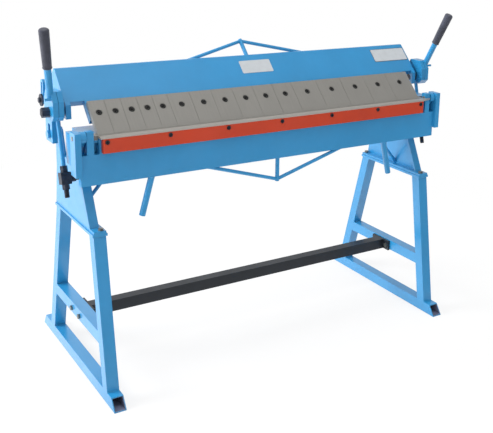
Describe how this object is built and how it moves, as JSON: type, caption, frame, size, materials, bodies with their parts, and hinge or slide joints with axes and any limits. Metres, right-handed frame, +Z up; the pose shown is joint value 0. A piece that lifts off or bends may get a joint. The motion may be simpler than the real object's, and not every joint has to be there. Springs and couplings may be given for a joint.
{
  "type": "box and pan folder",
  "caption": "Hand-operated sheet-metal folder on two A-shaped stands, with segmented clamping fingers, a hinged bending apron and a clamp lever at each end.",
  "frame": {"origin": "on the floor in the middle of the feet", "axes": "+X along the fold line to the operator's right, +Y to the rear, +Z up"},
  "size_m": [1.5102, 0.69, 1.1232],
  "materials": {
    "blue_paint": "satin",
    "orange_paint": "satin",
    "black_paint": "satin",
    "bare_steel": "ground",
    "black_steel": "black oxide",
    "grip_rubber": "matte"
  },
  "bodies": {
    "stand": {"left_foot_rail": "blue_paint", "right_foot_rail": "blue_paint", "left_front_leg": "blue_paint", "right_front_leg": "blue_paint", "left_rear_leg": "blue_paint", "right_rear_leg": "blue_paint", "left_mid_rail": "blue_paint", "right_mid_rail": "blue_paint", "left_stand_plate": "blue_paint", "right_stand_plate": "blue_paint", "stretcher": "black_paint", "frame_bolts": "bare_steel", "left_side_frame": "blue_paint", "right_side_frame": "blue_paint", "bed": "blue_paint", "left_hinge_block": "blue_paint", "right_hinge_block": "blue_paint", "left_brace": "blue_paint", "right_brace": "blue_paint", "rear_pivot_pins": "blue_paint"},
    "beam": {"clamp_beam": "blue_paint", "left_beam_plate": "blue_paint", "right_beam_plate": "blue_paint", "finger_seat_bar": "blue_paint", "narrow_fingers": "bare_steel", "medium_fingers": "bare_steel", "wide_fingers": "bare_steel", "finger_screws": "black_steel", "beam_truss_left_rod": "blue_paint", "beam_truss_right_rod": "blue_paint", "beam_truss_post": "blue_paint", "slot_bars": "blue_paint", "slot_bar_bolts": "black_steel"},
    "apron": {"apron": "blue_paint", "edge_bar": "orange_paint", "edge_bar_screws": "black_steel", "bending_blade": "bare_steel", "left_hinge_arm": "blue_paint", "right_hinge_arm": "blue_paint", "hinge_pins": "bare_steel", "left_handle_bar": "blue_paint", "right_handle_bar": "blue_paint", "apron_truss_left_rod": "blue_paint", "apron_truss_right_rod": "blue_paint", "apron_truss_post": "blue_paint"},
    "left_lever_arm": {"left_lever": "blue_paint", "left_grip": "grip_rubber", "left_lever_shaft": "black_steel", "left_shaft_nuts": "black_steel"},
    "left_link": {"left_link_rod": "blue_paint", "left_trunnion": "black_steel", "left_link_nuts": "black_steel"},
    "right_lever_arm": {"right_lever": "blue_paint", "right_grip": "grip_rubber", "right_lever_shaft": "black_steel", "right_shaft_nuts": "black_steel"},
    "right_link": {"right_link_rod": "blue_paint", "right_trunnion": "black_steel", "right_link_nuts": "black_steel"}
  },
  "joints": [
    {"name": "beam_lift", "type": "hinge", "parent": "stand", "child": "beam", "pos_m": [0, 0.084, 0.76], "axis": [-1, 0, 0], "range_deg": [0, 1.43]},
    {"name": "apron_fold", "type": "hinge", "parent": "stand", "child": "apron", "pos_m": [0, -0.192, 0.81], "axis": [-1, 0, 0], "range_deg": [0, 135]},
    {"name": "left_lever_turn", "type": "hinge", "parent": "beam", "child": "left_lever_arm", "pos_m": [-0.706, -0.07, 0.866], "axis": [-1, 0, 0], "range_deg": [0, 58.1]},
    {"name": "left_link_rock", "type": "hinge", "parent": "stand", "child": "left_link", "pos_m": [-0.689, -0.116, 0.673], "axis": [-1, 0, 0], "range_deg": [0, 1.2]},
    {"name": "right_lever_turn", "type": "hinge", "parent": "beam", "child": "right_lever_arm", "pos_m": [0.706, -0.07, 0.866], "axis": [-1, 0, 0], "range_deg": [0, 58.1]},
    {"name": "right_link_rock", "type": "hinge", "parent": "stand", "child": "right_link", "pos_m": [0.689, -0.116, 0.673], "axis": [-1, 0, 0], "range_deg": [0, 1.2]}
  ],
  "couplings": [
    {"joint": "left_lever_turn", "follows": "beam_lift", "ratio": 40.672},
    {"joint": "left_link_rock", "follows": "beam_lift", "ratio": 0.82},
    {"joint": "right_lever_turn", "follows": "beam_lift", "ratio": 40.672},
    {"joint": "right_link_rock", "follows": "beam_lift", "ratio": 0.82}
  ]
}
